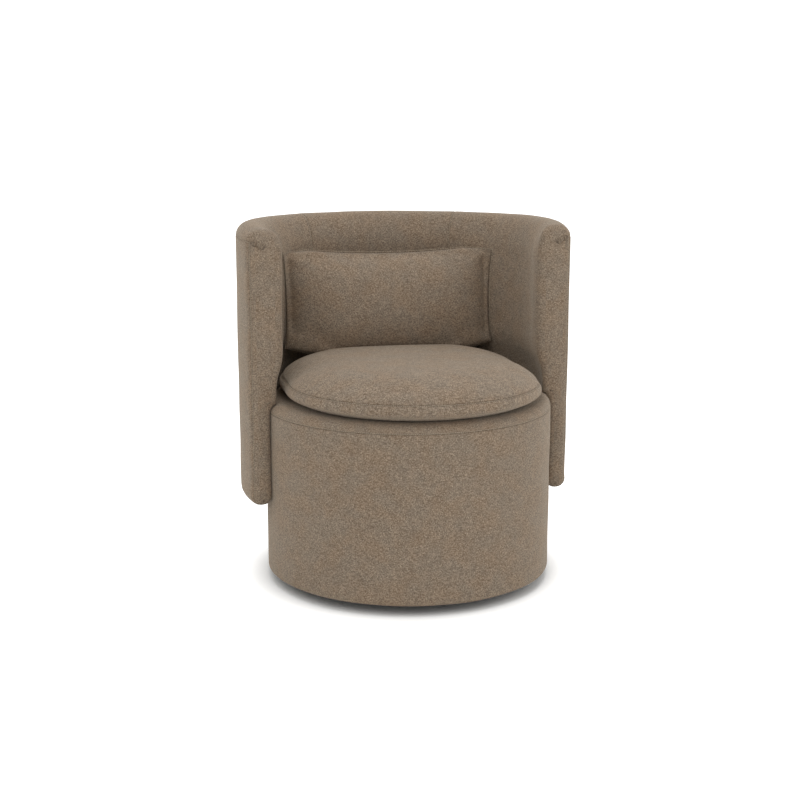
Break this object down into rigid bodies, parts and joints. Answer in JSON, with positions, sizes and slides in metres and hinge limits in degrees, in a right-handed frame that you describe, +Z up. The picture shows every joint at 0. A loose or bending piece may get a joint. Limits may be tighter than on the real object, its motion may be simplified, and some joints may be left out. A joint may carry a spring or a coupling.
{
  "type": "swivel barrel chair",
  "caption": "Upholstered tub armchair: a round drum base turns on a hidden swivel plate, a barrel back wraps round it, with a loose seat cushion and a lumbar pillow.",
  "frame": {"origin": "on the floor, on the swivel axis, at the bottom face of the middle glide", "axes": "+Z up along the swivel axis, -Y out of the front of the seat, +X to the right seen from the front"},
  "size_m": [0.712, 0.7271, 0.76],
  "materials": {
    "chair_cloth": "slub-woven upholstery cloth, mottled taupe and brown",
    "lining_cloth": "plain dark cotton lining",
    "dust_cloth": "thin black non-woven cloth",
    "foam": "open-cell polyurethane foam, uncoated",
    "fibre": "white polyester fibre",
    "felt": "needled grey felt",
    "plywood": "plain sanded plywood",
    "timber": "planed softwood, unfinished",
    "board": "bent hardboard, unfinished",
    "painted_plywood": "plywood painted matt black",
    "zinc_steel": "zinc-plated steel",
    "spring_steel": "bright spring steel",
    "black_plastic": "moulded black nylon",
    "zip_tape": "woven polyester zip tape with coil",
    "zip_metal": "dark plated zinc slider"
  },
  "bodies": {
    "base": {"floor_glides": "black_plastic", "plinth": "painted_plywood", "swivel_lower_plate": "zinc_steel", "lower_plate_screws": "zinc_steel", "swivel_rivet": "zinc_steel", "bearing_balls": "spring_steel", "ball_cage": "black_plastic"},
    "seat": {"swivel_upper_plate": "zinc_steel", "upper_plate_bolts": "zinc_steel", "upper_plate_nuts": "zinc_steel", "dust_cover": "dust_cloth", "drum_bottom_panel": "plywood", "drum_posts": "timber", "drum_top_ring": "plywood", "drum_skin": "board", "drum_padding": "foam", "drum_cover": "chair_cloth", "deck_springs": "spring_steel", "spring_clips": "zinc_steel", "spring_pad": "felt", "deck_foam": "foam", "deck_cover": "chair_cloth", "back_bottom_rail": "plywood", "back_ledge_rail": "plywood", "back_top_rail": "plywood", "back_mounting_blocks": "timber", "back_posts": "timber", "back_inner_panel": "board", "back_outer_panel": "board", "back_bolts": "zinc_steel", "back_bolt_washers": "zinc_steel", "back_tee_nuts": "zinc_steel", "back_inner_padding": "foam", "back_outer_padding": "foam", "back_top_padding": "foam", "wing_padding": "foam", "back_outer_cover": "chair_cloth", "back_lining": "lining_cloth", "inner_cover_left": "chair_cloth", "inner_cover_centre": "chair_cloth", "inner_cover_right": "chair_cloth"},
    "seat_cushion": {"cushion_core": "foam", "cushion_wrap": "fibre", "cushion_top_cover": "chair_cloth", "cushion_bottom_cover": "chair_cloth", "cushion_zip": "zip_tape"},
    "zip_slider": {"cushion_zip_slider": "zip_metal"},
    "lumbar_pillow": {"pillow_insert": "fibre", "pillow_front_cover": "chair_cloth", "pillow_rear_cover": "chair_cloth"}
  },
  "joints": [
    {"name": "swivel", "type": "hinge", "parent": "base", "child": "seat", "pos_m": [0, 0, 0.029], "axis": [0, 0, 1], "continuous": true},
    {"name": "cushion_pull_out", "type": "slide", "parent": "seat", "child": "seat_cushion", "axis": [0, -1, 0], "range_m": [0, 0.65]},
    {"name": "pillow_lift", "type": "slide", "parent": "seat_cushion", "child": "lumbar_pillow", "axis": [0, 0, 1], "range_m": [0, 0.32]},
    {"name": "zip_run", "type": "hinge", "parent": "seat_cushion", "child": "zip_slider", "pos_m": [0, 0.043, 0.409], "axis": [0, 0, 1], "range_deg": [-48, 48]}
  ]
}
